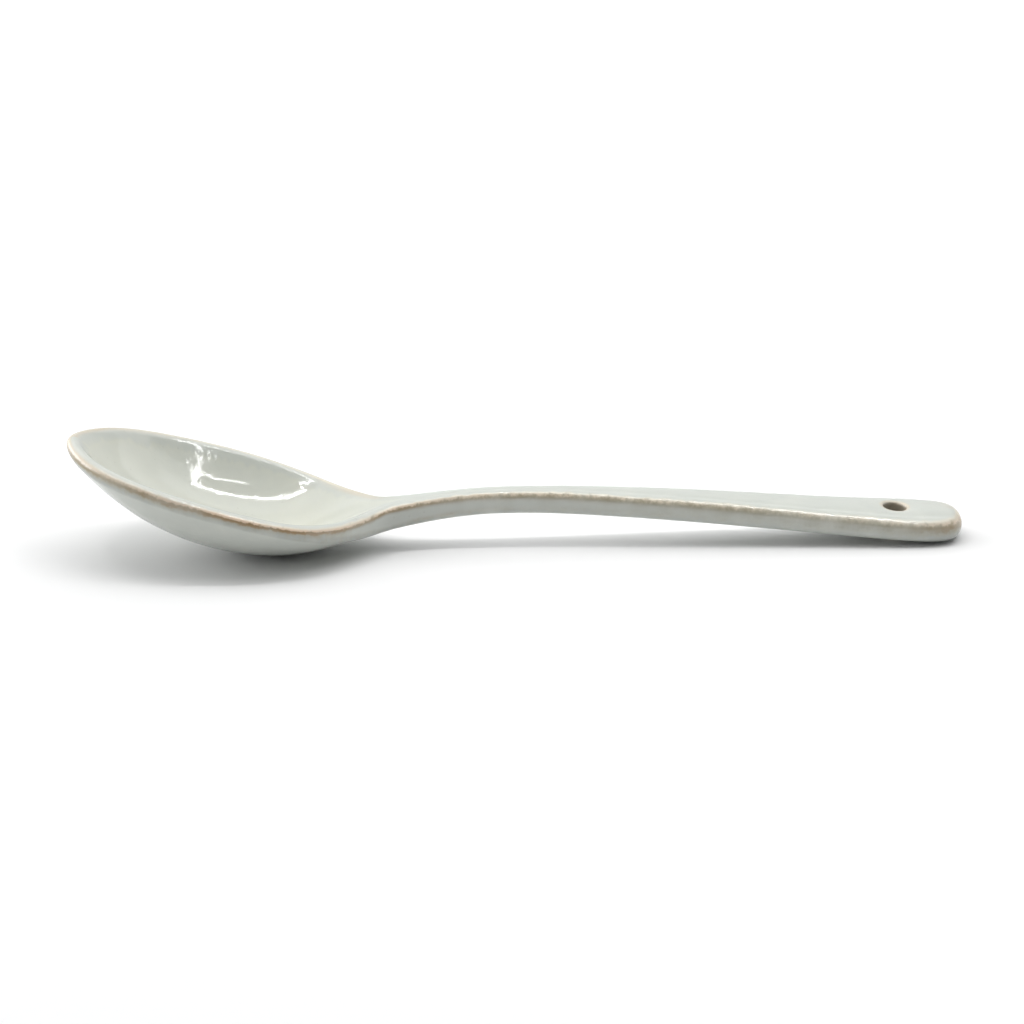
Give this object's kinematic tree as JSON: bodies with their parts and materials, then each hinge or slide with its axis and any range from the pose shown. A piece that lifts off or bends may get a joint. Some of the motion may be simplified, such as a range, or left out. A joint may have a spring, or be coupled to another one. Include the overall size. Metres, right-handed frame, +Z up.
{
  "type": "iced tea spoon",
  "caption": "Long glazed stoneware spoon for iced tea, with a deep oval bowl, a slim arched neck and a flat handle that widens to a rounded end pierced for hanging.",
  "frame": {"origin": "On the table, under the middle of the spoon's overall length and width.", "axes": "+X runs from the tip of the bowl to the end of the handle, +Y to the left of someone looking along +X, +Z up from the table."},
  "size_m": [0.184, 0.0392, 0.0255],
  "materials": {
    "glazed_stoneware": "glossy pale celadon glaze that thins to tan clay on the edges"
  },
  "bodies": {
    "root": {"spoon": "glazed_stoneware"}
  },
  "joints": []
}
